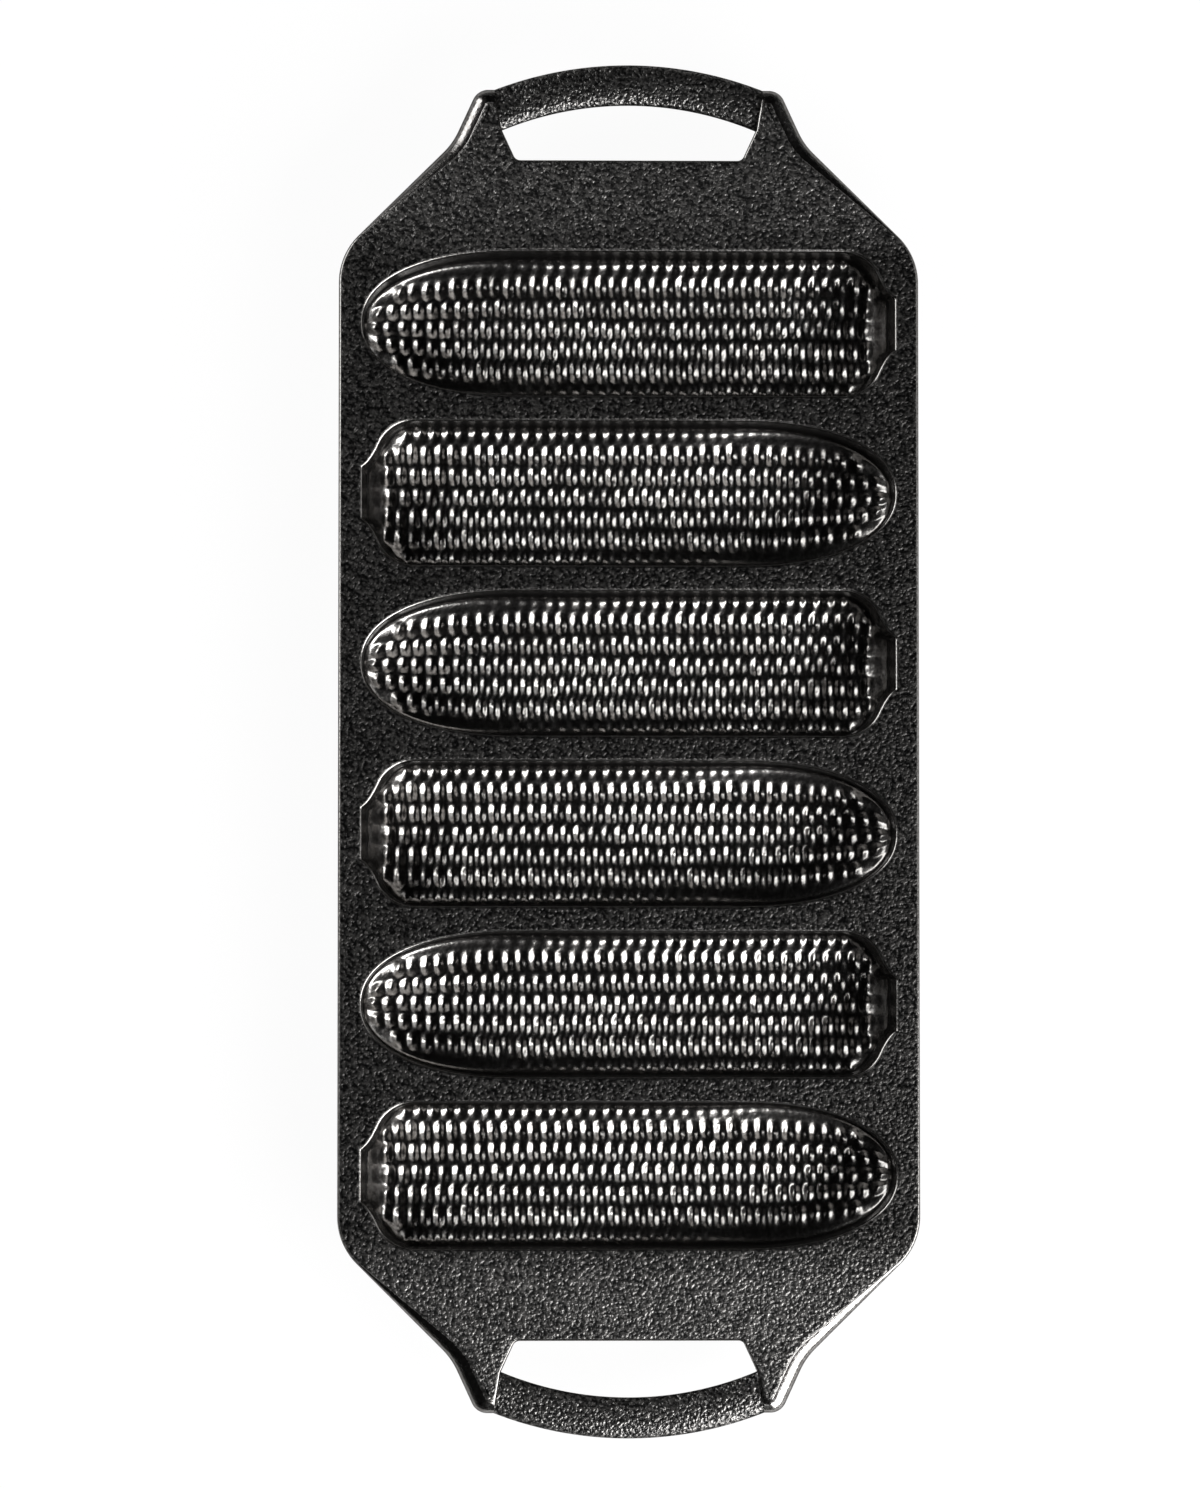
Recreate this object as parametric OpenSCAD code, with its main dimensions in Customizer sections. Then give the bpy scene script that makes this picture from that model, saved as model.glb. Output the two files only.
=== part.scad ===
// Cast iron corn stick pan: a flat deck with six cob shaped moulds sunk into it, laid tip to stem,
// and at each end a shelf whose two horns carry a curved grip bar.
// The pan is one casting. Each module below is one named stretch of it, and they meet face to face.
// +X runs along the cobs, +Y to the far grip bar and +Z up. The origin is on the table, under the middle.

/* [Deck] */
// Width of the deck over its straight sides
deck_width = 158.2; // [155:0.1:190]
// Thickness of the deck between the moulds
deck_thickness = 4.5; // [3.5:0.1:6]
// Radius of the deck's corners in plan
corner_radius = 18; // [8:0.5:24]
// Rounding along the deck's straight sides
edge_round = 0.8; // [0.3:0.1:1.5]

/* [Moulds] */
// Distance between the middles of two neighbouring moulds
mould_pitch = 46.4; // [45:0.1:60]
// Length of a mould's mouth, from its tip to its stem end
mouth_length = 146.8; // [120:0.1:148]
// Width of a mould's mouth at its widest
mouth_width = 41; // [34:0.1:42]
// Depth of a mould below the deck's top, without its kernels
mould_depth = 17.4; // [14:0.1:20]
// Height of the smooth steep wall between the mouth and the kernels
wall_height = 5; // [3:0.1:7]
// How far that wall leans in at the sides and the tip
wall_draft = 0.9; // [0.5:0.1:1.5]
// How far that wall leans in at the stem end
stem_draft = 2.1; // [1:0.1:3]
// Squareness of a mould's rounded bottom: 2 is an ellipse, more is flatter
bowl_squareness = 3.2; // [2:0.1:4]
// Rounding of the lip around the mouth
lip_round = 0.8; // [0.3:0.1:1.2]
// Thickness of the iron around a mould
shell_wall = 4.2; // [3.2:0.1:5]
// How much the belly of a mould is flattened where the pan rests
foot_flat = 0.4; // [0.2:0.05:0.8]

/* [Cob outline] */
// Length over which a cob narrows to its tip
tip_length = 43; // [25:0.5:70]
// Fullness of the tip: 2 is an ellipse, more is blunter
tip_fullness = 2.2; // [1.8:0.05:3]
// Radius of the cob's shoulders beside the stem
shoulder_radius = 11; // [6:0.5:16]
// Angle through which a shoulder turns from the cob's side
shoulder_turn = 64; // [45:1:75]
// Length of the slanted edges between a shoulder and the stem
stem_taper = 4.8; // [3:0.1:9]
// How hollow those edges are: 0 is straight
stem_hollow = 0.6; // [0:0.05:0.8]
// Width of the flat stem end
stem_width = 14.6; // [10:0.1:20]

/* [Kernels] */
// Distance between two kernels along the cob
kernel_pitch = 3.63; // [3:0.01:6]
// Distance between two rows of kernels, measured round the cob
row_pitch = 5.75; // [5:0.05:8]
// Depth of a kernel's dimple
kernel_depth = 1.3; // [0.4:0.05:1.6]
// Distance from the tip to the first kernels
kernel_tip_gap = 2; // [1.5:0.1:8]
// Distance from the last kernels to the stem end
kernel_stem_gap = 5.7; // [4:0.1:12]

/* [Shelves and horns] */
// Distance from the last mould's cell to the hand window
shelf_length = 21.5; // [20:0.1:40]
// Angle of the slanted end edges to the cobs
slant_angle = 45; // [38:1:50]
// Half the width over the roots of the horns
horn_root = 48.1; // [46:0.1:54]
// Distance of the horns' roots beyond the window's straight edge
horn_root_rise = 4.9; // [3:0.1:8]
// Radius of the hollow at a horn's root
horn_root_radius = 20; // [8:0.5:24]
// Half the width over the tips of the horns
horn_tip = 41.3; // [40.5:0.1:43]
// Radius of a horn's tip in plan
horn_tip_radius = 4.5; // [3.6:0.1:5.5]
// Rounding of the horns' outer edge
horn_round = 2.8; // [1:0.1:3.2]
// Iron left under a grip bar where it meets a horn
horn_floor = 0.4; // [0.2:0.1:1.5]

/* [Grip bars] */
// Height of the hand window at its middle
window_height = 15.5; // [12:0.1:30]
// Half the length of the window's straight edge
window_half = 30.9; // [26:0.1:32]
// How much further out the window reaches at the bar's inner edge
window_flare = 3.9; // [1:0.1:4.2]
// How much further out again the bar reaches at its outer edge
bar_flare = 2; // [1:0.1:2.6]
// Radius of the window's corners
window_corner = 2; // [1:0.1:4]
// Width of a grip bar in plan
bar_width = 11.1; // [8:0.1:14]
// Thickness of a grip bar
bar_thickness = 5; // [4:0.1:7]
// Depth of a grip bar's crown below the deck's top
bar_recess = 1.1; // [0.5:0.1:2]
// Radius of a grip bar's outer edge in plan
bar_radius = 101.1; // [90:0.1:160]
// Squareness of a grip bar's section: 2 is an ellipse
bar_squareness = 2.6; // [2:0.1:4]

/* [Hidden] */
mould_count = 6;
iron = [0.17, 0.165, 0.16];
over = 1;

deck_top = mould_depth + shell_wall - foot_flat;
half_deck = deck_width / 2;
cells_end = mould_count / 2 * mould_pitch;
window_edge = cells_end + shelf_length;
bar_crown = window_edge + window_height + bar_width;
horn_thickness = bar_recess + bar_thickness + horn_floor;

// A vector of length 1, and points along a rounded corner at v on the way from a to b
function unit(v) = v / norm(v);
function turn(v) = [-v.y, v.x];
function rounded(a, v, b, r, steps) =
    let (
        da = unit(a - v),
        db = unit(b - v),
        half = acos(da * db) / 2,
        centre = v + unit(da + db) * r / sin(half),
        first = v + da * r / tan(half) - centre,
        last = v + db * r / tan(half) - centre,
        sweep = (first.x * last.y - first.y * last.x > 0 ? 1 : -1) * acos(unit(first) * unit(last))
    )
    [for (k = [0:steps])
        let (angle = sweep * k / steps)
        centre + first * cos(angle) + turn(first) * sin(angle)];

// Skin over rings with the same even number of points, each ring mirrored across its own middle.
// The ends are closed by strips that join each point to its mirror image.
function strip(a, b, c, d) = [[a, b, c], [a, c, d]];
function ladder(n, first) =
    [for (k = [0:n / 2 - 2]) [first + k, first + k + 1, first + n - 2 - k, first + n - 1 - k]];
function flip(faces) = [for (f = faces) [for (k = [len(f) - 1:-1:0]) f[k]]];
function side_faces(n, rings, skip) =
    [for (j = [0:rings - 2], i = [0:n - 1])
        if (!skip(j, i))
            let (next = (i + 1) % n)
            each strip(j * n + i, j * n + next, (j + 1) * n + next, (j + 1) * n + i)];
function end_faces(n, rings) = concat(flip(ladder(n, 0)), ladder(n, (rings - 1) * n));
no_skip = function (j, i) false;

module skin(rings) {
    n = len(rings[0]);
    polyhedron(
        points = [for (ring = rings) each ring],
        faces = flip(concat(side_faces(n, len(rings), no_skip), end_faces(n, len(rings)))),
        convexity = 6
    );
}

// The cob's plan outline: half its width at a distance u from the tip, for a mouth of full size
half_mouth = mouth_width / 2;
half_neck = half_mouth - shoulder_radius * (1 - cos(shoulder_turn));
shoulder_end = mouth_length - stem_taper;
shoulder_start = shoulder_end - shoulder_radius * sin(shoulder_turn);
function tip_half(u) = half_mouth * pow(1 - pow(1 - u / tip_length, tip_fullness), 1 / tip_fullness);
function shoulder_half(u) =
    half_mouth - shoulder_radius + sqrt(pow(shoulder_radius, 2) - pow(u - shoulder_start, 2));
function stem_half(share) =
    half_neck + (stem_width / 2 - half_neck) * share * (1 + stem_hollow * (1 - share));
function cob_half(u) =
    u < tip_length ? tip_half(u)
    : u < shoulder_start ? half_mouth
    : u < shoulder_end ? shoulder_half(u)
    : stem_half((u - shoulder_end) / stem_taper);

// Copies of that outline, given as [start, end, half width]. The lip's slanted face leans by lip_lean.
lip_lean = 35;
lip_draft = lip_round * tan(lip_lean);
mouth_ring = [0, mouth_length, half_mouth];
lip_ring = [lip_draft, mouth_length - lip_draft, half_mouth - lip_draft];
floor_ring = [wall_draft, mouth_length - stem_draft, half_mouth - wall_draft];
belly_ring = [
    floor_ring[0] - shell_wall,
    floor_ring[1] + shell_wall,
    floor_ring[2] + shell_wall
];
function ring_x(ring, f) = ring[0] + (ring[1] - ring[0]) * f - mouth_length / 2;
function ring_half(ring, f) = ring[2] / half_mouth * cob_half(f * mouth_length);

// The rounded bottom of a mould is a squarish half oval that shrinks with the outline. Its points are
// found by an angle from -90 to 90 degrees, as shares of its half width and of its depth.
bowl_depth = mould_depth - wall_height;
function bowl_across(angle) = sign(angle) * pow(abs(sin(angle)), 2 / bowl_squareness);
function bowl_down(angle) = pow(max(0, cos(angle)), 2 / bowl_squareness);
function bowl_point(ring, depth, f, angle) = [
    ring_x(ring, f),
    ring_half(ring, f) * bowl_across(angle),
    deck_top - wall_height - depth * ring_half(ring, f) / ring[2] * bowl_down(angle)
];

// Rows of kernels are equally wide round the bowl. Its arc is measured in pieces of equal width in plan,
// and angle_of_arc is the angle that a length of arc from the middle reaches.
arc_pieces = 100;
function bowl_rise(across) =
    bowl_depth * (1 - pow(1 - pow(across, bowl_squareness), 1 / bowl_squareness));
function arc_piece(k) = norm([
    floor_ring[2] / arc_pieces,
    bowl_rise((k + 1) / arc_pieces) - bowl_rise(k / arc_pieces)
]);
function arc_up_to(k) = k == 0 ? 0 : arc_piece(k - 1) + arc_up_to(k - 1);
function angle_of_arc(arc, k = 0) =
    arc <= 0 ? asin(pow(k / arc_pieces, bowl_squareness / 2)) : angle_of_arc(arc - arc_piece(k), k + 1);

// As many whole rows fit as leave smooth_rim of the arc bare on each side
smooth_rim = 4;
half_rows = floor((arc_up_to(arc_pieces) - smooth_rim) / row_pitch - 0.5);
row_middles = [for (k = [-half_rows:half_rows]) sign(k) * angle_of_arc(row_pitch * abs(k))];
row_edges = [for (k = [0:half_rows]) angle_of_arc(row_pitch * (k + 0.5))];
section_angles = concat(
    [-90],
    [for (k = [half_rows:-1:0]) -row_edges[k]],
    row_edges,
    [90]
);

// Sections across the mould, as shares of its floor's length: some close together at the tip,
// then one between every two kernels, and some along the stem
tip_steps = 2;
stem_steps = 2;
function share_of_floor(u) = (u - floor_ring[0]) / (floor_ring[1] - floor_ring[0]);
kernels_from = share_of_floor(kernel_tip_gap);
kernels_to = share_of_floor(mouth_length - kernel_stem_gap);
kernel_columns = round((mouth_length - kernel_stem_gap - kernel_tip_gap) / kernel_pitch);
sections = concat(
    [for (k = [0:tip_steps - 1]) kernels_from * pow((k + 0.5) / tip_steps, 2)],
    [for (k = [0:kernel_columns]) kernels_from + (kernels_to - kernels_from) * k / kernel_columns],
    [for (k = [1:stem_steps]) kernels_to + (1 - kernels_to) * k / stem_steps]
);

function cavity_section(f) =
    let (
        left = [
            [ring_x(mouth_ring, f), -ring_half(mouth_ring, f), deck_top + over],
            [ring_x(mouth_ring, f), -ring_half(mouth_ring, f), deck_top],
            [ring_x(lip_ring, f), -ring_half(lip_ring, f), deck_top - lip_round]
        ]
    )
    concat(
        left,
        [for (angle = section_angles) bowl_point(floor_ring, bowl_depth, f, angle)],
        [for (k = [2:-1:0]) [left[k].x, -left[k].y, left[k].z]]
    );

// The deepest point of a kernel's dimple, square to the bowl
function kernel_point(f, angle) =
    let (
        power = bowl_squareness - 1,
        aside = bowl_depth * sign(angle) * pow(abs(bowl_across(angle)), power),
        out = unit([0, aside, -floor_ring[2] * pow(bowl_down(angle), power)])
    )
    bowl_point(floor_ring, bowl_depth, f, angle) + kernel_depth * out;

// The space that a cob of corn bread fills, with the kernels on it
module cob_cavity() {
    rings = [for (f = sections) cavity_section(f)];
    n = len(rings[0]);
    rows = 2 * half_rows + 1;
    first_row = n / 2 - half_rows - 1;
    in_kernels = function (j, i)
        j >= tip_steps && j < tip_steps + kernel_columns && i >= first_row && i < first_row + rows;
    middles = [for (j = [0:kernel_columns - 1], i = [0:rows - 1])
        kernel_point((sections[tip_steps + j] + sections[tip_steps + j + 1]) / 2, row_middles[i])];
    kernel_faces = [for (j = [0:kernel_columns - 1], i = [0:rows - 1])
        let (
            a = (tip_steps + j) * n + first_row + i,
            corners = [a, a + 1, a + 1 + n, a + n],
            middle = len(rings) * n + j * rows + i
        )
        each [for (k = [0:3]) [corners[k], corners[(k + 1) % 4], middle]]];
    polyhedron(
        points = concat([for (ring = rings) each ring], middles),
        faces = flip(concat(side_faces(n, len(rings), in_kernels), end_faces(n, len(rings)), kernel_faces)),
        convexity = 6
    );
}

// The outside of the iron around a mould, whose top is buried in the deck
module belly() {
    tip_sections = 6;
    first_lead = 0.6;
    shoulder_steps = 3;
    angle_step = 20;
    narrowing = [for (k = [1:tip_sections])
        tip_length / mouth_length * pow((k - first_lead) / (tip_sections - first_lead), 2)];
    shoulder = [for (k = [0:shoulder_steps])
        1 - (1 - shoulder_start / mouth_length) * (1 - k / shoulder_steps)];
    buried = deck_top - deck_thickness / 2;
    skin([for (f = concat(narrowing, shoulder)) concat(
        [[ring_x(belly_ring, f), -ring_half(belly_ring, f), buried]],
        [for (angle = [-90:angle_step:90]) bowl_point(belly_ring, bowl_depth + shell_wall, f, angle)],
        [[ring_x(belly_ring, f), ring_half(belly_ring, f), buried]]
    )]);
}

// Points of the far end's plan outline, from the right side over the horns to the left side
bar_centre = bar_crown - bar_radius;
function bar_y(x, radius) = bar_centre + sqrt(radius * radius - x * x);
window_top_half = window_half + window_flare;
bar_end_half = window_top_half + bar_flare;
horn_top = bar_y(bar_end_half, bar_radius);
horn_root_y = window_edge + horn_root_rise;
slant_start = horn_root_y - (half_deck - horn_root) * tan(slant_angle);
end_base = cells_end - mould_pitch - over;
right_edge = concat(
    [[half_deck, end_base]],
    rounded([half_deck, end_base], [half_deck, slant_start], [horn_root, horn_root_y], corner_radius, 6),
    rounded([half_deck, slant_start], [horn_root, horn_root_y], [horn_tip, horn_top], horn_root_radius, 4),
    rounded([horn_root, horn_root_y], [horn_tip, horn_top], [0, horn_top], horn_tip_radius, 5)
);
end_outline = concat(
    right_edge,
    [for (k = [len(right_edge) - 1:-1:0]) [-right_edge[k].x, right_edge[k].y]]
);

// The edge is barely rounded along the sides and grows to the horns' full rounding
function edge_rounding(y) =
    edge_round + (horn_round - edge_round) * min(1, max(0, (y - cells_end) / (horn_root_y - cells_end)));
function edge_ring(angle) = [for (k = [0:len(end_outline) - 1])
    let (
        n = len(end_outline),
        p = end_outline[k],
        inward = unit(turn(end_outline[(k + 1) % n] - end_outline[(k + n - 1) % n])),
        r = edge_rounding(p.y),
        q = p + inward * r * (1 - cos(angle))
    )
    [q.x, q.y, deck_top - r * (1 - sin(angle))]];

module end_plate(thickness) {
    skin(concat(
        [[for (p = end_outline) [p.x, p.y, deck_top - thickness]]],
        [for (angle = [0:30:90]) edge_ring(angle)]
    ));
}

// The deck between two end cells: its section across the pan, drawn out along Y
module side_to_side(y_low, y_high) {
    right = [for (angle = [0:30:90]) [
        half_deck - edge_round * (1 - cos(angle)),
        deck_top - edge_round * (1 - sin(angle))
    ]];
    section = concat(
        [[half_deck, deck_top - deck_thickness]],
        right,
        [for (k = [len(right) - 1:-1:0]) [-right[k].x, right[k].y]],
        [[-half_deck, deck_top - deck_thickness]]
    );
    translate([0, y_high, 0])
        rotate([90, 0, 0])
            linear_extrude(height = y_high - y_low)
                polygon(section);
}

// One cell of the deck with its mould. Odd cobs point to the left and even ones to the right.
module cob_mould(i) {
    middle = cells_end - (i - 0.5) * mould_pitch;
    low = middle - mould_pitch / 2;
    at_end = i == 1 || i == mould_count;
    color(iron)
        difference() {
            intersection() {
                union() {
                    if (at_end)
                        rotate([0, 0, i == 1 ? 0 : 180])
                            end_plate(deck_thickness);
                    else
                        side_to_side(low, low + mould_pitch);
                    translate([0, middle, 0])
                        rotate([0, 0, i % 2 == 1 ? 0 : 180])
                            belly();
                }
                translate([-half_deck - over, low, 0])
                    cube([deck_width + 2 * over, mould_pitch, deck_top + over]);
            }
            translate([0, middle, 0])
                rotate([0, 0, i % 2 == 1 ? 0 : 180])
                    cob_cavity();
        }
}

// Plan of the hand window together with the notch that the grip bar fills
module bar_notch() {
    knee = [window_top_half, bar_y(window_top_half, bar_radius - bar_width)];
    end = [bar_end_half, horn_top];
    far = end + unit(end - knee) * (bar_crown - horn_top + over);
    right = concat(rounded([0, window_edge], [window_half, window_edge], knee, window_corner, 4), [knee, far]);
    translate([0, 0, deck_top - horn_thickness - over])
        linear_extrude(height = horn_thickness + 2 * over)
            polygon(concat(right, [for (k = [len(right) - 1:-1:0]) [-right[k].x, right[k].y]]));
}

// The shelf beyond the last cell, which thickens up to the window and ends in two horns
module end_shelf() {
    color(iron)
        difference() {
            intersection() {
                end_plate(horn_thickness);
                translate([-half_deck - over, 0, 0])
                    rotate([90, 0, 90])
                        linear_extrude(height = deck_width + 2 * over)
                            polygon([
                                [cells_end, deck_top + over],
                                [cells_end, deck_top - deck_thickness],
                                [window_edge, deck_top - horn_thickness],
                                [bar_crown, deck_top - horn_thickness],
                                [bar_crown, deck_top + over]
                            ]);
            }
            bar_notch();
        }
}

// The curved bar between the horns: a crowned section, bare and set a little below the deck
module grip_bar() {
    a = bar_width / 2;
    b = bar_thickness / 2;
    power = 2 / bar_squareness;
    section = [for (angle = [7.5:15:352.5]) [
        a * sign(cos(angle)) * pow(abs(cos(angle)), power),
        b * sign(sin(angle)) * pow(abs(sin(angle)), power)
    ]];
    sweep = 60;
    color(iron)
        intersection() {
            translate([0, bar_centre, deck_top - bar_recess - b])
                rotate([0, 0, 90 - sweep / 2])
                    rotate_extrude(angle = sweep, $fn = 180)
                        translate([bar_radius - a, 0])
                            polygon(section);
            bar_notch();
        }
}

for (i = [1:mould_count])
    cob_mould(i);
end_shelf();  // end_shelf_far
rotate([0, 0, 180]) end_shelf();  // end_shelf_near
grip_bar();  // grip_bar_far
rotate([0, 0, 180]) grip_bar();  // grip_bar_near
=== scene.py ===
"""Cast iron corn stick pan: its cast surfaces, its finish, and the light and camera of the photograph."""

import math
import random

import bmesh
import bpy
from mathutils import Euler, Matrix, Vector


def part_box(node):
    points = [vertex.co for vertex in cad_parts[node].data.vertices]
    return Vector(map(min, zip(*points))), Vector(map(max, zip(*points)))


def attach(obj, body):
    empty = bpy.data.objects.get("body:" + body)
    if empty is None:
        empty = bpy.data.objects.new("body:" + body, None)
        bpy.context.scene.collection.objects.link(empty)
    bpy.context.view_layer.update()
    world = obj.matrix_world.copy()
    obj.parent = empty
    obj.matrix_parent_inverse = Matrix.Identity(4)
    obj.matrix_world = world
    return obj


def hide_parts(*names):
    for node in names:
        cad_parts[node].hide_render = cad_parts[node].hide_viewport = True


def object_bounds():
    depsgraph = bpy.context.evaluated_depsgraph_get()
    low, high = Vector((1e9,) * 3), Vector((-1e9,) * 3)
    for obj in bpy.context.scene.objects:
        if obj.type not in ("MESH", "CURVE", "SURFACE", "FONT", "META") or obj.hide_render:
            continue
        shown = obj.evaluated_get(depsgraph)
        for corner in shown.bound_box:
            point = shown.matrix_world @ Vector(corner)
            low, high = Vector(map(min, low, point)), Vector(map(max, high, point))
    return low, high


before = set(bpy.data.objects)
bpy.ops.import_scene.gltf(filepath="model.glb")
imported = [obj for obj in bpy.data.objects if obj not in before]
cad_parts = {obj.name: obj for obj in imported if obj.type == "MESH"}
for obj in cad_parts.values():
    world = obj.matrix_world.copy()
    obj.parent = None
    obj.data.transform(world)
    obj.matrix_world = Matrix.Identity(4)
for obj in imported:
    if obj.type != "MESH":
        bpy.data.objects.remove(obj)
cad_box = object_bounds()

# The pan is modelled in millimetres, and each finished piece is scaled to metres.
MM = 0.001
DECK_TOP = cad_box[1].z / MM
HALF_DECK = cad_box[1].x / MM
CELLS_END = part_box("cob_mould_1")[1].y / MM
MOULDS = 6
HALF_PITCH = CELLS_END / MOULDS
DECK_THICKNESS = 4.5
BISECT_SLACK = 0.0001
WELD = 0.002

MOUTH_LENGTH = 146.8
HALF_MOUTH = 20.5
WALL_HEIGHT = 5
WALL_DRAFT = 0.9
STEM_DRAFT = 2.1
LIP_ROUND = 0.9
SHELL_WALL = 4.2
BOWL_DEPTH = 12.4
BOWL_SQUARENESS = 5.0
TIP_SQUARENESS = 12.0
BELLY_SQUARENESS = 3.2
FLOOR_END = 141
STEM_FLOOR = 0.45

TIP_LENGTH = 43
TIP_FULLNESS = 2.2
SHOULDER_RADIUS = 11
SHOULDER_TURN = math.radians(64)
STEM_TAPER = 4.8
STEM_HOLLOW = 0.6
HALF_STEM = 7.3

ROW_PITCH = 5.75
ROW_WIDTH = 1.3
ROW_DEPTH = 0.6
ROW_HOLLOW = 1.2
KERNEL_DEPTH = 1.2
KERNEL_HOLLOW = 1.0
KERNEL_SIDE = 1.35
KERNEL_LENGTH = 0.92
OUTER_ROW_DEPTH = 0.75

CORNER_RADIUS = 18
EDGE_ROUND = 1.0
SHELF_LENGTH = 21.5
WINDOW_EDGE = CELLS_END + SHELF_LENGTH
HORN_ROOT = Vector((48.1, WINDOW_EDGE + 4.9))
HORN_ROOT_RADIUS = 20
HORN_TIP = 41.3
HORN_TIP_RADIUS = 4.5
HORN_ROUND_ACROSS = 5.0
HORN_ROUND_DOWN = 3.2
HORN_THICKNESS = 6.5

BAR_RADIUS = 101.1
BAR_WIDTH = 11.1
BAR_THICKNESS = 5
BAR_RECESS = 1.1
BAR_SQUARENESS = 2.3
BAR_CENTRE = cad_box[1].y / MM - BAR_RADIUS
WINDOW_HALF = 30.9
WINDOW_CORNER = 2
STEP_ROUND = 0.9
KNEE_HALF = 34.8
BAR_END_HALF = 36.8


def smoothstep(low, high, value):
    """0 at low, 1 at high and smooth between them; low may be the higher one."""
    share = min(1, max(0, (value - low) / (high - low)))
    return share * share * (3 - 2 * share)


def bar_y(x, radius):
    return BAR_CENTRE + math.sqrt(radius * radius - x * x)


HORN_TOP = bar_y(BAR_END_HALF, BAR_RADIUS)
KNEE = Vector((KNEE_HALF, bar_y(KNEE_HALF, BAR_RADIUS - BAR_WIDTH)))
BAR_END = Vector((BAR_END_HALF, HORN_TOP))
SLANT_START = HORN_ROOT.y - (HALF_DECK - HORN_ROOT.x)


# Sheets of points, and how solids are cut and closed


def sheet(mesh, columns, lines, place):
    """A grid whose points go where place says; returns them line by line."""
    grid = bmesh.ops.create_grid(mesh, x_segments=columns - 1, y_segments=lines - 1, size=1)
    for index, vert in enumerate(grid["verts"]):
        vert.co = place(index % columns, index // columns)
    return grid["verts"]


def open_edges(mesh, axis, level):
    """The open edges that lie in a plane square to an axis."""
    return [
        edge for edge in mesh.edges
        if edge.is_boundary and all(abs(vert.co[axis] - level) < 10 * WELD for vert in edge.verts)
    ]


def close_level(mesh, axis, level):
    bmesh.ops.triangle_fill(mesh, use_beauty=True, edges=open_edges(mesh, axis, level))


def cut_away(mesh, axis, level, side):
    """Cuts off what lies beyond a plane square to an axis, and closes the cut."""
    normal = [0, 0, 0]
    normal[axis] = side
    place = [0, 0, 0]
    place[axis] = level
    everything = mesh.verts[:] + mesh.edges[:] + mesh.faces[:]
    bmesh.ops.bisect_plane(
        mesh, geom=everything, dist=BISECT_SLACK, plane_co=place, plane_no=normal, clear_outer=True
    )
    close_level(mesh, axis, level)


def weld(mesh):
    bmesh.ops.remove_doubles(mesh, verts=mesh.verts[:], dist=WELD)


# The cob: its plan outline, its sections and its kernels


SHOULDER_END = MOUTH_LENGTH - STEM_TAPER
SHOULDER_START = SHOULDER_END - SHOULDER_RADIUS * math.sin(SHOULDER_TURN)
HALF_NECK = HALF_MOUTH - SHOULDER_RADIUS * (1 - math.cos(SHOULDER_TURN))


def cob_half(u):
    """Half the width of a full sized cob at a distance u from its tip."""
    if u < TIP_LENGTH:
        return HALF_MOUTH * (1 - (1 - u / TIP_LENGTH) ** TIP_FULLNESS) ** (1 / TIP_FULLNESS)
    if u < SHOULDER_START:
        return HALF_MOUTH
    if u < SHOULDER_END:
        return HALF_MOUTH - SHOULDER_RADIUS + math.sqrt(SHOULDER_RADIUS ** 2 - (u - SHOULDER_START) ** 2)
    share = (u - SHOULDER_END) / STEM_TAPER
    return HALF_NECK + (HALF_STEM - HALF_NECK) * share * (1 + STEM_HOLLOW * (1 - share))


class Ring:
    """The cob's outline drawn in or let out by one distance at the tip and another at the stem."""

    def __init__(self, tip, stem=None):
        self.start = tip
        self.end = MOUTH_LENGTH - (tip if stem is None else stem)
        self.half = HALF_MOUTH - tip

    def x(self, share):
        return self.start + (self.end - self.start) * share - MOUTH_LENGTH / 2

    def width(self, share):
        return self.half / HALF_MOUTH * cob_half(share * MOUTH_LENGTH)


def floor_section(share):
    """The mould's share of its full depth, and how square its section is, along its length."""
    u = share * MOUTH_LENGTH
    squareness = TIP_SQUARENESS + (BOWL_SQUARENESS - TIP_SQUARENESS) * smoothstep(12, 55, u)
    if u < TIP_LENGTH:
        return (cob_half(u) / HALF_MOUTH) ** 0.25, squareness
    rise = 0.1 * smoothstep(90, FLOOR_END, u)
    return 1 - rise - (1 - STEM_FLOOR - rise) * smoothstep(FLOOR_END, MOUTH_LENGTH + 1.5, u), squareness


def belly_section(share):
    u = share * MOUTH_LENGTH
    return (cob_half(u) / HALF_MOUTH) ** (0.6 if u < TIP_LENGTH else 1), BELLY_SQUARENESS


FLOOR = Ring(WALL_DRAFT, STEM_DRAFT)


def level_line(ring, drop, across=1):
    """A line round the cob at a drop below the deck's top."""
    return ring, across, drop, 0


def bowl_line(ring, depth, across):
    """A line along the bowl below the wall, at a share of its half width."""
    return ring, across, WALL_HEIGHT, depth


def stations(tip_reach, tip_count, step, end_count):
    """Shares of the cob's length, close together at the tip, then its end wall from rim to middle."""
    count = round((MOUTH_LENGTH - tip_reach) / step)
    places = [tip_reach * (k / tip_count) ** 2 for k in range(tip_count)]
    places += [tip_reach + (MOUTH_LENGTH - tip_reach) * k / count for k in range(count + 1)]
    along = [(place / MOUTH_LENGTH, 1) for place in places]
    return along + [(1, 1 - k / end_count) for k in range(1, end_count + 1)]


def cob_sheet(mesh, along, profile, section_at):
    """The cob's surface through its stations; the profile runs from a rim to the lowest line."""
    lines = [(-1, line) for line in profile] + [(1, line) for line in reversed(profile[:-1])]

    def place(column, row):
        share, squeeze = along[column]
        side, (ring, across, base, depth) = lines[row]
        depth_share, squareness = section_at(share)
        drop = depth * depth_share * (1 - across ** squareness) ** (1 / squareness)
        return ring.x(share), side * ring.width(share) * across * squeeze, DECK_TOP - base - drop * squeeze

    return sheet(mesh, len(along), len(lines), place)


def bowl_rise(across):
    return BOWL_DEPTH * (1 - (1 - across ** BOWL_SQUARENESS) ** (1 / BOWL_SQUARENESS))


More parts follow.
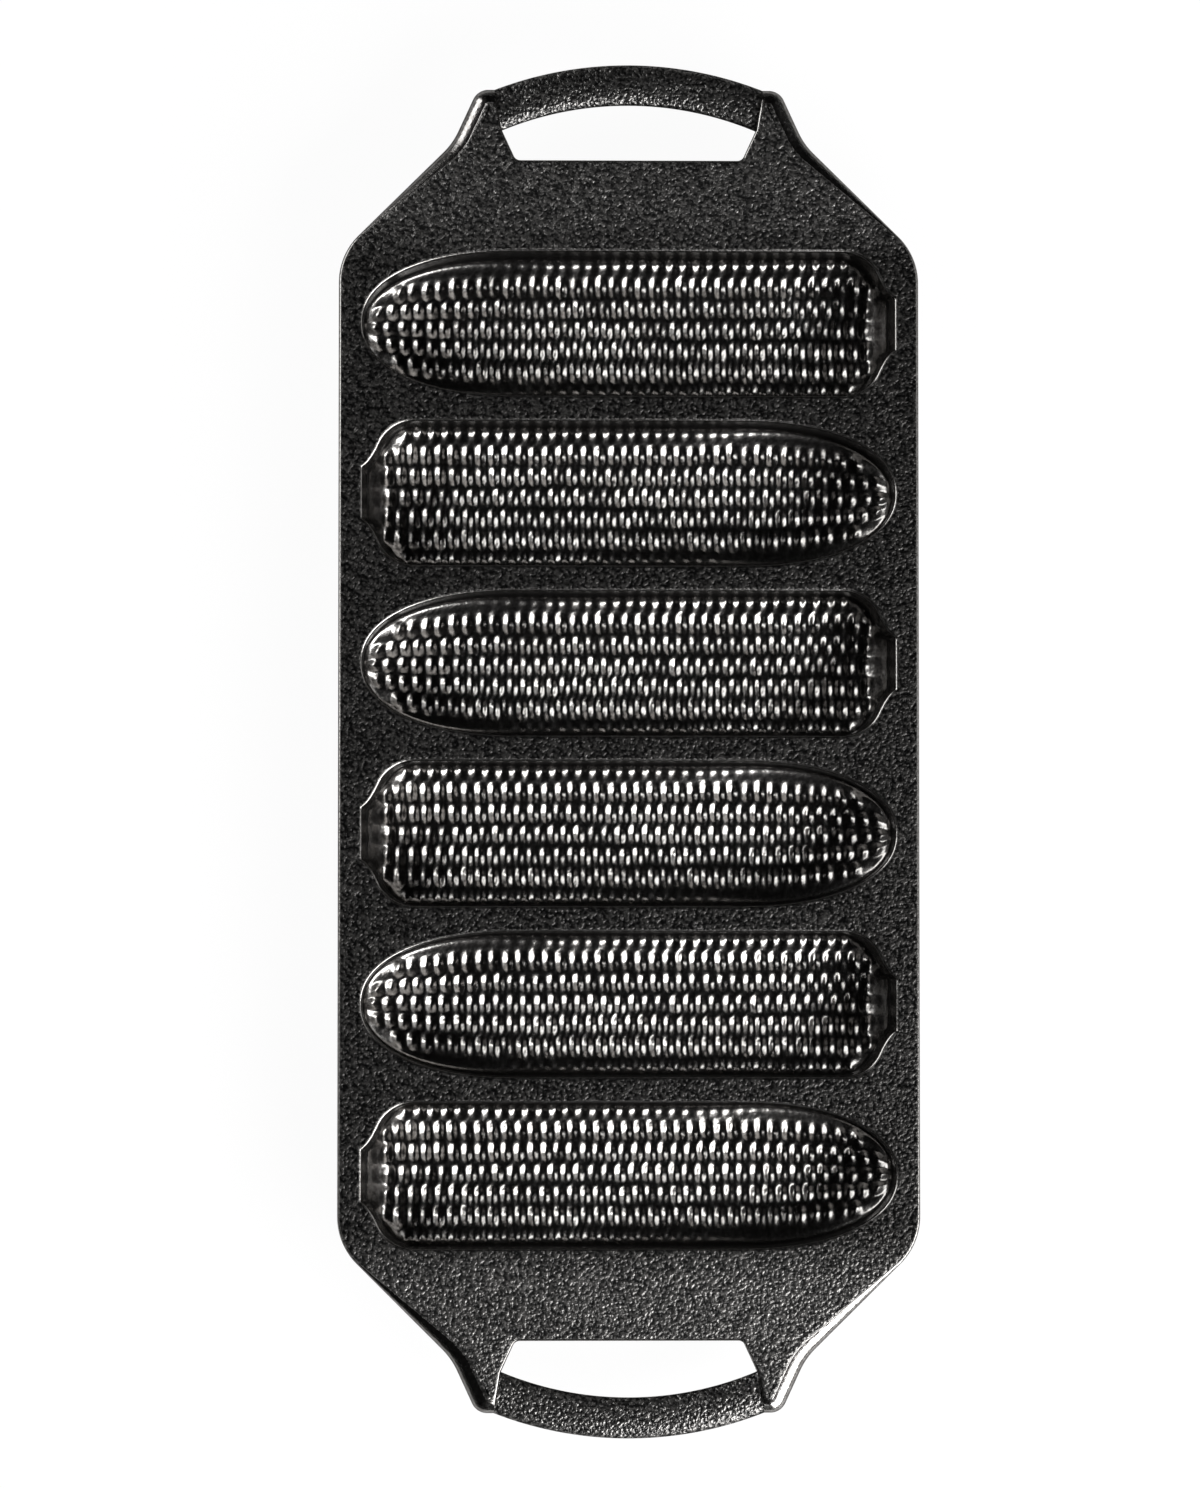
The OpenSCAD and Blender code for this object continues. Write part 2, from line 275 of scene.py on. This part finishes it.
def bowl_across(arc):
    """The share of the bowl's half width that a length of arc from the lowest line reaches."""
    width = 0.002
    across = 0
    while arc > 0:
        piece = math.hypot(FLOOR.half * width, bowl_rise(across + width) - bowl_rise(across))
        across += width * min(1, arc / piece)
        arc -= piece
    return across


# From the middle row to the outer ones: each row's place round the bowl, its own pitch, the place
# from which it is counted, and its first and last kernel.
ROW_RHYTHM = (
    (0, 3.695, 1.46, 1, 37), (1, 3.59, 2.40, 1, 38), (2, 3.655, 0.46, 3, 38), (3.06, 3.68, 1.23, 6, 36),
)
HALF_ROWS = len(ROW_RHYTHM) - 1

rng = random.Random(11)
KERNEL_WHIM = {
    (row, kernel): (rng.uniform(0.76, 1.14), rng.uniform(-0.07, 0.07), rng.uniform(-0.08, 0.08))
    for row in range(-HALF_ROWS, HALF_ROWS + 1) for kernel in range(40)
}


def row_dent(row, row_place, u):
    """How deep one row goes at a distance from the tip and a place counted in rows."""
    middle, pitch, start, first, last = ROW_RHYTHM[abs(row)]
    from_middle = row_place - math.copysign(middle, row)
    count = (u - start) / pitch + 0.45 * math.exp(-u / 14) - 0.07 * smoothstep(110, 135, u)
    kernel = min(last, max(first, round(count)))
    fullness, lead, lean = KERNEL_WHIM[row, kernel]
    along = min(1, abs(2 * (count - kernel - lead) / KERNEL_LENGTH))
    across = min(1, abs(2 * (from_middle - lean) / ROW_WIDTH))
    ends = smoothstep(first - 1.3, first - 0.4, count) * smoothstep(last + 1.5, last + 0.6, count)
    outer = OUTER_ROW_DEPTH * smoothstep(20, 100, u) if abs(row) == HALF_ROWS else 1
    trough = ROW_DEPTH * ends * (1 - min(1, abs(2 * from_middle / ROW_WIDTH)) ** ROW_HOLLOW)
    dimple = KERNEL_DEPTH * fullness * (1 - along ** KERNEL_HOLLOW) * (1 - across ** KERNEL_SIDE)
    return outer * (trough + dimple)


def kernel_dent(u, arc):
    """How deep the kernels' pattern goes at a distance from the tip and an arc from the lowest line."""
    width = FLOOR.width((u - FLOOR.start) / (FLOOR.end - FLOOR.start)) / FLOOR.half
    row_place = arc * width ** (0.4 if u < TIP_LENGTH else 1) / ROW_PITCH
    nearest = round(row_place)
    rows = [row for row in (nearest - 1, nearest, nearest + 1) if abs(row) <= HALF_ROWS]
    shallow = smoothstep(FLOOR.start, FLOOR.start + 1.6, u) * (0.7 + 0.3 * smoothstep(0, 22, u))
    return shallow * max((row_dent(row, row_place, u) for row in rows), default=0)


def cavity(mesh):
    """The mould's inside: rounded lip, steep wall, and a bowl dented by the kernels."""
    lip_turn = math.radians(84)
    lip_steps = 4
    wall_steps = 5
    row_steps = 14
    margin_steps = 6
    lip_in = LIP_ROUND * math.sin(lip_turn)
    lip_drop = LIP_ROUND * (1 - math.cos(lip_turn))
    profile = [level_line(Ring(-0.3), 0)]
    for k in range(lip_steps + 1):
        turn = lip_turn * k / lip_steps
        profile.append(level_line(Ring(LIP_ROUND * math.sin(turn)), LIP_ROUND * (1 - math.cos(turn))))
    for k in range(1, wall_steps + 1):
        share = k / wall_steps
        tip = lip_in + (WALL_DRAFT - lip_in) * share
        stem = lip_in + (STEM_DRAFT - lip_in) * share
        profile.append(level_line(Ring(tip, stem), lip_drop + (WALL_HEIGHT - lip_drop) * share))
    rows_reach = (HALF_ROWS + 0.75) * ROW_PITCH
    rows_count = round((HALF_ROWS + 0.75) * row_steps)
    arcs = [rows_reach * k / rows_count for k in range(rows_count, -1, -1)]
    margin = 1 - bowl_across(rows_reach)
    shares = [1 - margin * (k / margin_steps) ** 2.5 for k in range(1, margin_steps)]
    shares += [bowl_across(arc) for arc in arcs]
    profile += [bowl_line(FLOOR, BOWL_DEPTH, across) for across in shares]
    along = stations(3, 20, 0.29, 12)
    verts = cob_sheet(mesh, along, profile, floor_section)
    mesh.normal_update()
    middle_line = len(profile) - 1
    pushes = []
    for index, vert in enumerate(verts):
        column, line = index % len(along), index // len(along)
        from_middle = abs(line - middle_line)
        share, squeeze = along[column]
        if from_middle > rows_count or squeeze < 1:
            continue
        arc = rows_reach * from_middle / rows_count * (1 if line > middle_line else -1)
        depth = kernel_dent(FLOOR.x(share) + MOUTH_LENGTH / 2, arc)
        if depth:
            pushes.append((vert, depth if vert.normal.z < 0 else -depth))
    for vert, depth in pushes:
        vert.co += vert.normal * depth
    weld(mesh)
    foot = [
        vert for vert in mesh.verts
        if vert.co.x > FLOOR.x(0.97) and DECK_TOP - vert.co.z > 2 * LIP_ROUND
    ]
    for _ in range(3):
        bmesh.ops.smooth_vert(mesh, verts=foot, factor=0.5, use_axis_x=True, use_axis_y=True, use_axis_z=True)


def belly(mesh):
    """The mould's outside, which flares into the deck's underside."""
    under_deck = Ring(WALL_DRAFT - SHELL_WALL, STEM_DRAFT - SHELL_WALL)
    flare = 1.5
    flare_steps = 5
    angles = [math.radians(78) * (1 - k / 20) for k in range(21)]
    shares = [math.sin(angle) ** (2 / BELLY_SQUARENESS) for angle in angles]
    side = shares[0]
    outer_depth = BOWL_DEPTH + SHELL_WALL
    start_drop = WALL_HEIGHT + outer_depth * (1 - side ** BELLY_SQUARENESS) ** (1 / BELLY_SQUARENESS)
    profile = []
    for k in range(flare_steps):
        share = 1 - k / flare_steps
        out = flare * share ** 3
        ring = Ring(WALL_DRAFT - SHELL_WALL - out, STEM_DRAFT - SHELL_WALL - out)
        drop = DECK_THICKNESS + (start_drop - DECK_THICKNESS) * (1 - share)
        profile.append(level_line(ring, drop, side + (1 - side) * min(1, 2 * share)))
    profile += [bowl_line(under_deck, outer_depth, across) for across in shares]
    cob_sheet(mesh, stations(6, 8, 2.2, 5), profile, belly_section)
    weld(mesh)
    bulge = [vert for vert in mesh.verts if vert.co.z < DECK_TOP - DECK_THICKNESS - 1]
    for _ in range(6):
        bmesh.ops.smooth_vert(mesh, verts=bulge, factor=0.5, use_axis_x=True, use_axis_y=True, use_axis_z=True)


# Plates: an outline in plan, rounded along its upper edge


def rounded(before, corner, after, radius, steps):
    """Points along a round corner between two straight edges."""
    back = (before - corner).normalized()
    ahead = (after - corner).normalized()
    half = back.angle(ahead) / 2
    centre = corner + (back + ahead).normalized() * radius / math.sin(half)
    arm = corner + back * radius / math.tan(half) - centre
    sweep = (math.pi - 2 * half) * (1 if back.cross(ahead) < 0 else -1)
    return [centre + Matrix.Rotation(sweep * k / steps, 2) @ arm for k in range(steps + 1)]


def far_outline(low):
    """The far end's plan outline from a line across the deck: right side, horns and left side."""
    base = Vector((HALF_DECK, low))
    slant = Vector((HALF_DECK, SLANT_START))
    tip = Vector((HORN_TIP, HORN_TOP))
    right = [base]
    right += rounded(base, slant, HORN_ROOT, CORNER_RADIUS, 16)
    right += rounded(slant, HORN_ROOT, tip, HORN_ROOT_RADIUS, 16)
    right += rounded(HORN_ROOT, tip, Vector((0, HORN_TOP)), HORN_TIP_RADIUS, 20)
    return right + [Vector((-point.x, point.y)) for point in reversed(right)]


def box_outline(low, high):
    return [Vector(place) for place in (
        (HALF_DECK, low), (HALF_DECK, high), (-HALF_DECK, high), (-HALF_DECK, low)
    )]


def edge_profile(across, down, bottom):
    """Steps inward and down along a plate's rounded upper edge, then its foot."""
    steps = 8
    support = 0.3
    turns = [math.pi / 2 * k / steps for k in range(steps + 1)]
    profile = [(across + support, 0)]
    profile += [(across * (1 - math.sin(turn)), down * (1 - math.cos(turn))) for turn in turns]
    return profile + [(0, bottom)]


def plate(mesh, outline, profile_at):
    """The edge of a plate along a closed outline; its upper and lower faces are left open."""
    count = len(outline)
    normals = []
    for k, point in enumerate(outline):
        back = (point - outline[k - 1]).normalized()
        ahead = (outline[(k + 1) % count] - point).normalized()
        inward = (Vector((-back.y, back.x)) + Vector((-ahead.y, ahead.x))) / (1 + back.dot(ahead))
        normals.append(inward)

    def place(column, line):
        point = outline[column % count]
        inset, drop = profile_at(point)[line]
        edge = point + normals[column % count] * inset
        return edge.x, edge.y, DECK_TOP - drop

    sheet(mesh, count + 1, len(profile_at(outline[0])), place)
    weld(mesh)


def mould_cell(at_end):
    """One cell of the deck with its mould, in the place of the first mould, its tip to the left."""
    mesh = bmesh.new()
    cavity(mesh)
    belly(mesh)
    middle = CELLS_END - HALF_PITCH
    bmesh.ops.translate(mesh, vec=(0, middle, 0), verts=mesh.verts)
    over = 8
    low = middle - HALF_PITCH - over
    outline = far_outline(low) if at_end else box_outline(low, CELLS_END + over)
    plate(mesh, outline, lambda point: edge_profile(EDGE_ROUND, EDGE_ROUND, DECK_THICKNESS))
    close_level(mesh, 2, DECK_TOP)
    close_level(mesh, 2, DECK_TOP - DECK_THICKNESS)
    cut_away(mesh, 1, CELLS_END, 1)
    cut_away(mesh, 1, middle - HALF_PITCH, -1)
    cut_away(mesh, 2, 0, -1)
    return mesh


def horn_profile(point):
    """The edge is barely rounded beside the cells and grows to the horns' full rounding."""
    growth = smoothstep(CELLS_END, HORN_ROOT.y + 4, point.y)
    across = EDGE_ROUND + (HORN_ROUND_ACROSS - EDGE_ROUND) * growth
    down = EDGE_ROUND + (HORN_ROUND_DOWN - EDGE_ROUND) * growth
    return edge_profile(across, down, HORN_THICKNESS)


def window_cutter():
    """The hand window with the notch that the grip bar fills; it leaves rounded upper edges."""
    mesh = bmesh.new()
    corner = Vector((WINDOW_HALF, WINDOW_EDGE))
    far = BAR_END + (BAR_END - KNEE).normalized() * 12
    right = rounded(Vector((0, WINDOW_EDGE)), corner, KNEE, WINDOW_CORNER, 8) + [KNEE, far]
    plan = right + [Vector((-point.x, point.y)) for point in reversed(right)]
    turns = [math.pi / 2 * k / 6 for k in range(7)]
    profile = [(-STEP_ROUND, -2)]
    profile += [(STEP_ROUND * (math.sin(turn) - 1), STEP_ROUND * (1 - math.cos(turn))) for turn in turns]
    profile.append((0, HORN_THICKNESS + 2))
    plate(mesh, plan, lambda point: profile)
    close_level(mesh, 2, DECK_TOP + 2)
    close_level(mesh, 2, DECK_TOP - HORN_THICKNESS - 2)
    bmesh.ops.recalc_face_normals(mesh, faces=mesh.faces[:])
    return mesh


def as_object(name, mesh):
    data = bpy.data.meshes.new(name)
    mesh.to_mesh(data)
    mesh.free()
    made = bpy.data.objects.new(name, data)
    bpy.context.scene.collection.objects.link(made)
    return made


def minus(mesh, cutter):
    """A closed solid without the space that another one takes."""
    body = as_object("body", mesh)
    tool = as_object("tool", cutter)
    carve = body.modifiers.new("carve", "BOOLEAN")
    carve.operation = "DIFFERENCE"
    carve.solver = "EXACT"
    carve.object = tool
    carved = bmesh.new()
    carved.from_object(body, bpy.context.evaluated_depsgraph_get())
    for spent in (body, tool):
        data = spent.data
        bpy.data.objects.remove(spent)
        bpy.data.meshes.remove(data)
    return carved


def shelf_under(y):
    """Height of the shelf's underside, which thickens up to the window."""
    share = min(1, max(0, (y - CELLS_END) / SHELF_LENGTH))
    return DECK_TOP - DECK_THICKNESS - (HORN_THICKNESS - DECK_THICKNESS) * share


def end_shelf():
    """The shelf beyond the last cell, and its two horns."""
    mesh = bmesh.new()
    plate(mesh, far_outline(CELLS_END - 10), horn_profile)
    foot = DECK_TOP - HORN_THICKNESS
    close_level(mesh, 2, DECK_TOP)
    close_level(mesh, 2, foot)
    cut_away(mesh, 1, CELLS_END, -1)
    bmesh.ops.recalc_face_normals(mesh, faces=mesh.faces[:])
    mesh = minus(mesh, window_cutter())
    everything = mesh.verts[:] + mesh.edges[:] + mesh.faces[:]
    bmesh.ops.bisect_plane(
        mesh, geom=everything, dist=BISECT_SLACK, plane_co=(0, WINDOW_EDGE, 0), plane_no=(0, 1, 0)
    )
    for vert in mesh.verts:
        if vert.co.z < foot + 0.5:
            vert.co.z = shelf_under(vert.co.y)
    return mesh


def grip_bar():
    """The curved bar between the horns: a crowned section spun about its own centre."""
    mesh = bmesh.new()
    section = bmesh.ops.create_circle(mesh, segments=64, radius=1)["verts"]
    power = 2 / BAR_SQUARENESS
    for vert in section:
        across, up = vert.co.x, vert.co.y
        vert.co = (
            0,
            BAR_CENTRE + BAR_RADIUS - BAR_WIDTH / 2
            + BAR_WIDTH / 2 * math.copysign(abs(across) ** power, across),
            DECK_TOP - BAR_RECESS - BAR_THICKNESS / 2
            + BAR_THICKNESS / 2 * math.copysign(abs(up) ** power, up),
        )
    sweep = math.radians(60)
    about = dict(cent=(0, BAR_CENTRE, 0), axis=(0, 0, 1), dvec=(0, 0, 0))
    bmesh.ops.rotate(mesh, cent=about["cent"], matrix=Matrix.Rotation(-sweep / 2, 3, "Z"), verts=section)
    bmesh.ops.spin(mesh, geom=mesh.verts[:] + mesh.edges[:], angle=sweep, steps=90, use_duplicate=False, **about)
    slope = BAR_END - KNEE
    for side in (1, -1):
        everything = mesh.verts[:] + mesh.edges[:] + mesh.faces[:]
        place = Vector((side * KNEE.x, KNEE.y, 0))
        normal = Vector((side * slope.y, -slope.x, 0))
        bmesh.ops.bisect_plane(
            mesh, geom=everything, dist=BISECT_SLACK, plane_co=place, plane_no=normal, clear_outer=True
        )
    for side in (1, -1):
        ends = [edge for edge in mesh.edges if edge.is_boundary and edge.verts[0].co.x * side > 0]
        bmesh.ops.contextual_create(mesh, geom=ends)
    return mesh


# Materials


class Value:
    """A number that the shader works out at every point of a surface."""

    def __init__(self, finish, socket):
        self.finish = finish
        self.socket = socket

    def maths(self, operation, *numbers):
        made = self.finish.node("ShaderNodeMath", {"operation": operation}, dict(enumerate(numbers)))
        return Value(self.finish, made.outputs[0])

    def __add__(self, other):
        return self.maths("ADD", self, other)

    def __radd__(self, other):
        return self.maths("ADD", other, self)

    def __sub__(self, other):
        return self.maths("SUBTRACT", self, other)

    def __rsub__(self, other):
        return self.maths("SUBTRACT", other, self)

    def __mul__(self, other):
        return self.maths("MULTIPLY", self, other)

    def __rmul__(self, other):
        return self.maths("MULTIPLY", other, self)

    def __abs__(self):
        return self.maths("ABSOLUTE", self)


class Finish:
    """A material, and the one method that adds its nodes."""

    def __init__(self, name):
        self.material = bpy.data.materials.new(name)
        self.material.use_nodes = True
        self.tree = self.material.node_tree
        self.tree.nodes.clear()

    def node(self, kind, settings=None, sockets=None):
        made = self.tree.nodes.new(kind)
        for name, value in (settings or {}).items():
            setattr(made, name, value)
        for name, value in (sockets or {}).items():
            if isinstance(value, Value):
                value = value.socket
            if isinstance(value, bpy.types.NodeSocket):
                self.tree.links.new(value, made.inputs[name])
            else:
                made.inputs[name].default_value = value
        return made

    def place(self):
        """Where a point lies, in metres from the pan's origin."""
        return self.node("ShaderNodeTexCoord").outputs["Object"]

    def part(self, vector, axis):
        """One coordinate of a place."""
        return Value(self, self.node("ShaderNodeSeparateXYZ", None, {"Vector": vector}).outputs[axis])

    def noise(self, size, detail=2.0, roughness=0.5):
        """Noise whose spots are about size across, from 0 to 1."""
        made = self.node("ShaderNodeTexNoise", None, {
            "Vector": self.place(), "Scale": 1 / size, "Detail": detail, "Roughness": roughness,
        })
        return Value(self, made.outputs["Fac"])

    def smooth(self, value, low, high):
        """0 below low, 1 above high and smooth between them."""
        made = self.node("ShaderNodeMapRange", {"interpolation_type": "SMOOTHSTEP"}, {
            "Value": value, "From Min": low, "From Max": high,
        })
        return Value(self, made.outputs["Result"])

    def mix(self, share, first, second):
        """A colour between two colours."""
        made = self.node("ShaderNodeMix", {"data_type": "RGBA"}, {
            "Factor": share, "A": first, "B": second,
        })
        return made.outputs["Result"]

    def bump(self, height, distance, strength=1.0):
        made = self.node("ShaderNodeBump", None, {
            "Height": height, "Distance": distance, "Strength": strength,
        })
        return made.outputs["Normal"]

    def surface(self, shader):
        self.node("ShaderNodeOutputMaterial", None, {"Surface": shader})
        return self.material


def seasoned_iron(name, cast_grain, roughness):
    """Black seasoned cast iron: grainy on the flat top, and smooth and oily in the moulds and round edges. The
    flat top carries painted shade: it is painted darker on the webs between the moulds than on the end shelves.
    """
    finish = Finish(name)
    grain = finish.noise(0.95 * MM, 1.0, 0.5)
    fine = finish.noise(0.6 * MM, 1.0)
    cloud = finish.noise(22 * MM, 4.0, 0.55)
    place = finish.place()
    top = finish.smooth(finish.part(place, "Z"), cad_box[1].z - 0.12 * MM, cad_box[1].z - 0.02 * MM)
    # Painted shade: this mask paints the flat top darker on the webs between the moulds than on the end shelves.
    web_painted_shade = 1 - finish.smooth(abs(finish.part(place, "Y")), 132 * MM, 146 * MM)
    grainy = cast_grain + (1 - cast_grain) * top
    worn = finish.smooth(grain * 0.7 + cloud * 0.5, 0.45, 0.8)
    oily = finish.mix(worn, (0.12, 0.115, 0.11, 1), (0.2, 0.195, 0.19, 1))
    specks = finish.smooth(grain, 0.32, 0.74)
    # The grain's light and dark specks, each painted darker on the webs as shade.
    peak_tone_and_web_shade = finish.mix(web_painted_shade, (0.165, 0.16, 0.155, 1), (0.062, 0.06, 0.058, 1))
    pit_tone_and_web_shade = finish.mix(web_painted_shade, (0.025, 0.025, 0.025, 1), (0.006, 0.006, 0.006, 1))
    dry_top_and_web_shade = finish.mix(specks, pit_tone_and_web_shade, peak_tone_and_web_shade)
    color = finish.mix(grainy, oily, dry_top_and_web_shade)
    height = (grain + fine * 0.1) * (0.06 + grainy * 0.5)
    shader = finish.node("ShaderNodeBsdfPrincipled", None, {
        "Base Color": color,
        "Metallic": 1.0,
        "Specular Tint": (0.3, 0.3, 0.3, 1),
        "Roughness": roughness + grainy * 0.2 + grain * 0.06 - cloud * 0.04,
        "Normal": finish.bump(height, 0.9 * MM),
    })
    return finish.surface(shader.outputs["BSDF"])


MOULD_IRON = seasoned_iron("seasoned_iron_moulds", 0.0, 0.235)
SHELF_IRON = seasoned_iron("seasoned_iron_shelves", 0.0, 0.2)
BAR_IRON = seasoned_iron("seasoned_iron_bars", 1.0, 0.15)


# The finished pieces


def finish_piece(name, mesh, iron):
    """Closes a piece's shading: outward faces, smooth surfaces and crisp corners."""
    weld(mesh)
    bmesh.ops.dissolve_degenerate(mesh, dist=WELD, edges=mesh.edges[:])
    bmesh.ops.recalc_face_normals(mesh, faces=mesh.faces[:])
    for face in mesh.faces:
        face.smooth = True
    for edge in mesh.edges:
        edge.smooth = not edge.is_manifold or edge.calc_face_angle() < math.radians(40)
    bmesh.ops.scale(mesh, vec=(MM, MM, MM), verts=mesh.verts[:])
    piece = as_object(name, mesh)
    piece.data.materials.append(iron)
    return piece


def twin(piece, name, turned, move_y):
    """A copy of a piece, moved along the pan and turned half round if need be."""
    data = piece.data.copy()
    turn = Matrix.Rotation(math.pi if turned else 0, 4, "Z")
    data.transform(Matrix.Translation((0, move_y * MM, 0)) @ turn)
    copy = bpy.data.objects.new(name, data)
    bpy.context.scene.collection.objects.link(copy)
    return copy


def stand_in(piece, node, slot):
    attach(piece, "root")
    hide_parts(node)


def cast_moulds():
    first_middle = CELLS_END - HALF_PITCH
    end_cell = finish_piece("mould_1_casting", mould_cell(True), MOULD_IRON)
    middle_cell = finish_piece("mould_3_casting", mould_cell(False), MOULD_IRON)
    castings = [end_cell]
    for number in range(2, MOULDS):
        middle = CELLS_END - (2 * number - 1) * HALF_PITCH
        turned = number % 2 == 0
        if number == 3:
            middle_cell.data.transform(Matrix.Translation((0, (middle - first_middle) * MM, 0)))
            castings.append(middle_cell)
            continue
        source_middle = first_middle if number < 3 else CELLS_END - 5 * HALF_PITCH
        move = middle + source_middle if turned else middle - source_middle
        castings.append(twin(middle_cell, f"mould_{number}_casting", turned, move))
    castings.append(twin(end_cell, "mould_6_casting", True, 0))
    for number, casting in enumerate(castings, 1):
        stand_in(casting, f"cob_mould_{number}", "cast_iron_moulds")


def cast_ends():
    for name, mesh, iron, slot in (
        ("shelf", end_shelf(), SHELF_IRON, "cast_iron_shelves"),
        ("bar", grip_bar(), BAR_IRON, "cast_iron_bars"),
    ):
        node = "end_shelf" if name == "shelf" else "grip_bar"
        far = finish_piece(f"far_{name}_casting", mesh, iron)
        near = twin(far, f"near_{name}_casting", True, 0)
        stand_in(far, f"{node}_far", slot)
        stand_in(near, f"{node}_near", slot)


# The table, the light and the camera


def make_floor():
    """A white table whose far rim curves up, so that it also lies behind the pan in views from the side."""
    mesh = bmesh.new()
    reach = 3.2
    bend = 0.6
    rim = 1.2
    start = mesh.verts.new((0, 0, 0))
    end = mesh.verts.new((reach - bend, 0, 0))
    mesh.edges.new((start, end))
    bmesh.ops.spin(
        mesh, geom=[end], cent=(reach - bend, 0, bend), axis=(0, -1, 0), dvec=(0, 0, 0),
        angle=math.pi / 2, steps=12, use_duplicate=False
    )
    top = max(mesh.verts, key=lambda vert: vert.co.z)
    raised = bmesh.ops.extrude_vert_indiv(mesh, verts=[top])
    bmesh.ops.translate(mesh, vec=(0, 0, rim - bend), verts=raised["verts"])
    bmesh.ops.spin(
        mesh, geom=mesh.verts[:] + mesh.edges[:], cent=(0, 0, 0), axis=(0, 0, 1), dvec=(0, 0, 0),
        angle=2 * math.pi, steps=96, use_merge=True, use_duplicate=False
    )
    bmesh.ops.remove_doubles(mesh, verts=mesh.verts[:], dist=MM)
    for face in mesh.faces:
        face.smooth = True
    table = as_object("table_top", mesh)
    finish = Finish("white_table")
    rays = finish.node("ShaderNodeLightPath")
    lit = finish.node("ShaderNodeBsdfDiffuse", None, {"Color": (0.8, 0.8, 0.8, 1)})
    white = finish.node("ShaderNodeEmission", None, {"Color": (1, 1, 1, 1), "Strength": 1.0})
    share = Value(finish, rays.outputs["Is Camera Ray"]) * 0.95
    shown = finish.node("ShaderNodeMixShader", None, {0: share, 1: lit.outputs[0], 2: white.outputs[0]})
    table.data.materials.append(finish.surface(shown.outputs[0]))


def make_world(level):
    world = bpy.data.worlds.new("studio")
    bpy.context.scene.world = world
    world.use_nodes = True
    backdrop = world.node_tree.nodes["Background"]
    backdrop.inputs["Color"].default_value = (1, 1, 1, 1)
    backdrop.inputs["Strength"].default_value = level


def make_light(name, azimuth, elevation, distance, size, watts):
    """A soft box, wide and tall, that faces the middle of the pan."""
    data = bpy.data.lights.new(name, "AREA")
    data.shape = "RECTANGLE"
    data.size, data.size_y = size
    data.energy = watts
    lamp = bpy.data.objects.new(name, data)
    azimuth = math.radians(azimuth)
    elevation = math.radians(elevation)
    level = distance * math.cos(elevation)
    lamp.location = (level * math.cos(azimuth), level * math.sin(azimuth), distance * math.sin(elevation))
    lamp.rotation_mode = "QUATERNION"
    lamp.rotation_quaternion = (-lamp.location).to_track_quat("-Z", "Y")
    bpy.context.scene.collection.objects.link(lamp)


FRAME_HEIGHT = 404.6 * MM
FRAME_MIDDLE = Vector((-7.9 * MM, 1.1 * MM, cad_box[1].z))
CAMERA_DISTANCE = 1.6
CAMERA_TILT = math.radians(2.4)
CAMERA_LEAN = math.radians(1.4)


def make_camera():
    """A long lens above the pan, leaning a little to the near end and to the left."""
    data = bpy.data.cameras.new("camera")
    data.sensor_width = 36
    data.lens = data.sensor_width * CAMERA_DISTANCE / FRAME_HEIGHT
    camera = bpy.data.objects.new("camera", data)
    turn = Euler((CAMERA_TILT, -CAMERA_LEAN, 0))
    camera.location = FRAME_MIDDLE + turn.to_matrix() @ Vector((0, 0, CAMERA_DISTANCE))
    camera.rotation_euler = turn
    bpy.context.scene.collection.objects.link(camera)
    bpy.context.scene.camera = camera


cast_moulds()
cast_ends()
make_floor()
make_world(0.004)
make_light("key_soft_box", -42, 29, 0.85, (0.93, 0.47), 23.5)
make_light("side_soft_box", 15, 29, 1.0, (0.5, 0.44), 1.4)
make_light("back_soft_box", 155, 26, 1.0, (0.8, 0.45), 9.5)
make_camera()
bpy.context.scene.view_settings.view_transform = "Standard"
